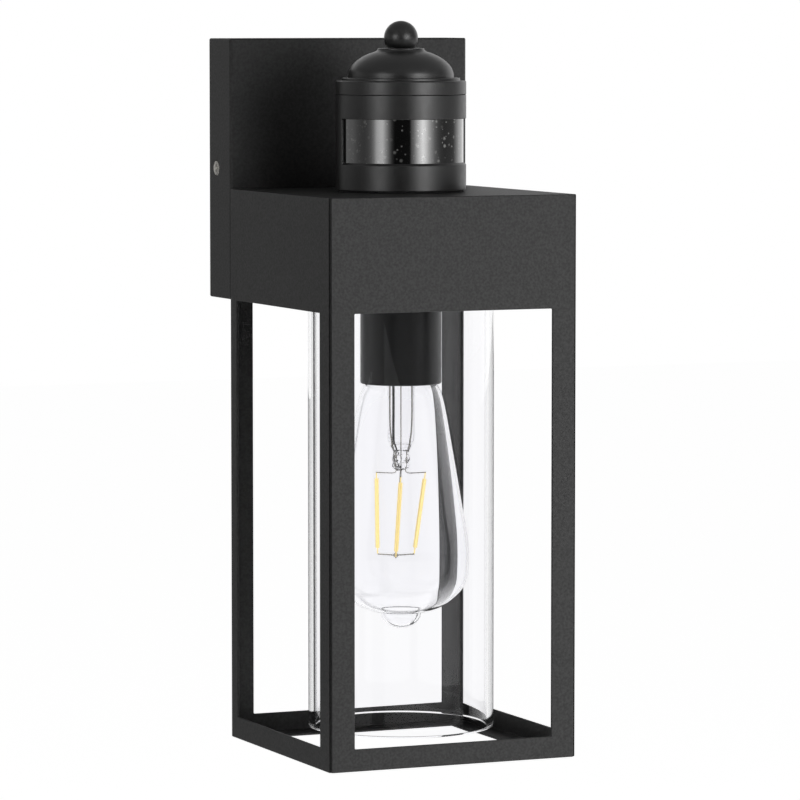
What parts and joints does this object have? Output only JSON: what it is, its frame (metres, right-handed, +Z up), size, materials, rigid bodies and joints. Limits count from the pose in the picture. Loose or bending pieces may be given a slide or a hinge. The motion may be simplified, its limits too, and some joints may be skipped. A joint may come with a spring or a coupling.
{
  "type": "outdoor wall lantern",
  "caption": "Black box-frame outdoor wall lantern with a domed motion-sensor head on its roof and a clear glass cylinder round a filament bulb.",
  "frame": {"origin": "centre of the wall bracket's back face, on the wall", "axes": "+X to the right seen from the front, +Y into the wall, +Z up; the lantern stands out from the wall towards -Y"},
  "size_m": [0.12, 0.1471, 0.3312],
  "materials": {
    "powder_coat": "fine-grained satin black powder coat",
    "satin_black": "satin black stove enamel",
    "moulded_black": "satin moulded plastic",
    "smoked_lens": "glossy near-black, lets infrared through",
    "clear_glass": "clear, polished",
    "zinc_steel": "bright zinc plate",
    "brass": "bright brass",
    "nickel": "nickel plate",
    "porcelain": "glazed white ceramic",
    "black_rubber": "matte",
    "pale_silicone": "translucent silicone",
    "black_foam": "closed-cell foam",
    "board_green": "solder mask",
    "vitrite": "opaque black glass",
    "phosphor": "yellow phosphor coating",
    "component_black": "moulded case",
    "insulation_black": "smooth wire insulation",
    "insulation_white": "smooth wire insulation",
    "insulation_red": "smooth wire insulation"
  },
  "bodies": {
    "lantern": {"wall_bracket": "zinc_steel", "earth_screw": "brass", "pan_foam_seal": "black_foam", "back_pan": "powder_coat", "side_screw_left": "nickel", "side_screw_right": "nickel", "body_screw_left": "zinc_steel", "body_screw_right": "zinc_steel", "body_nut_left": "zinc_steel", "body_nut_right": "zinc_steel", "lead_grommet": "black_rubber", "header_shell": "powder_coat", "post_front_left": "powder_coat", "post_front_right": "powder_coat", "post_rear_right": "powder_coat", "post_rear_left": "powder_coat", "bottom_rail_front": "powder_coat", "bottom_rail_right": "powder_coat", "bottom_rail_rear": "powder_coat", "bottom_rail_left": "powder_coat", "socket_crossbar": "zinc_steel", "threaded_tube": "zinc_steel", "tube_nut": "zinc_steel", "socket_sleeve": "satin_black", "lampholder": "porcelain", "screw_shell": "brass", "centre_contact": "brass", "sensor_seal": "black_rubber", "sensor_housing": "moulded_black", "sensor_lens": "smoked_lens", "sensor_floor": "moulded_black", "sensor_nut": "zinc_steel", "sensor_cap": "moulded_black", "cap_ball": "moulded_black", "circuit_board": "board_green", "pir_sensor": "nickel", "photocell": "phosphor", "power_relay": "component_black", "capacitor": "satin_black", "sensor_live_lead": "insulation_black", "sensor_neutral_lead": "insulation_white", "switched_lead": "insulation_red", "holder_neutral_lead": "insulation_white"},
    "bulb": {"bulb_envelope": "clear_glass", "bulb_screw_base": "nickel", "bulb_insulator": "vitrite", "bulb_tip_contact": "zinc_steel", "bulb_stem": "clear_glass", "bulb_support_rod": "nickel", "bulb_lead_wire_1": "nickel", "bulb_lead_wire_2": "nickel", "bulb_lead_wire_3": "nickel", "bulb_filament_1": "phosphor", "bulb_filament_2": "phosphor", "bulb_filament_3": "phosphor", "bulb_filament_hub": "nickel"},
    "glass": {"glass_cylinder": "clear_glass", "upper_glass_seal": "pale_silicone", "lower_glass_seal": "pale_silicone"},
    "ring": {"clamp_ring": "moulded_black"}
  },
  "joints": [
    {"name": "bulb_unscrew", "type": "slide", "parent": "lantern", "child": "bulb", "axis": [0, 0, -1], "range_m": [0, 0.21]},
    {"name": "glass_drop", "type": "slide", "parent": "lantern", "child": "glass", "axis": [0, 0, -1], "range_m": [0, 0.009]},
    {"name": "ring_turn", "type": "hinge", "parent": "glass", "child": "ring", "pos_m": [0, -0.0876, -0.042], "axis": [0, 0, -1], "range_deg": [0, 1080]}
  ],
  "couplings": [
    {"joint": "glass_drop", "follows": "ring_turn", "m_per_rad": 0.00047746}
  ]
}
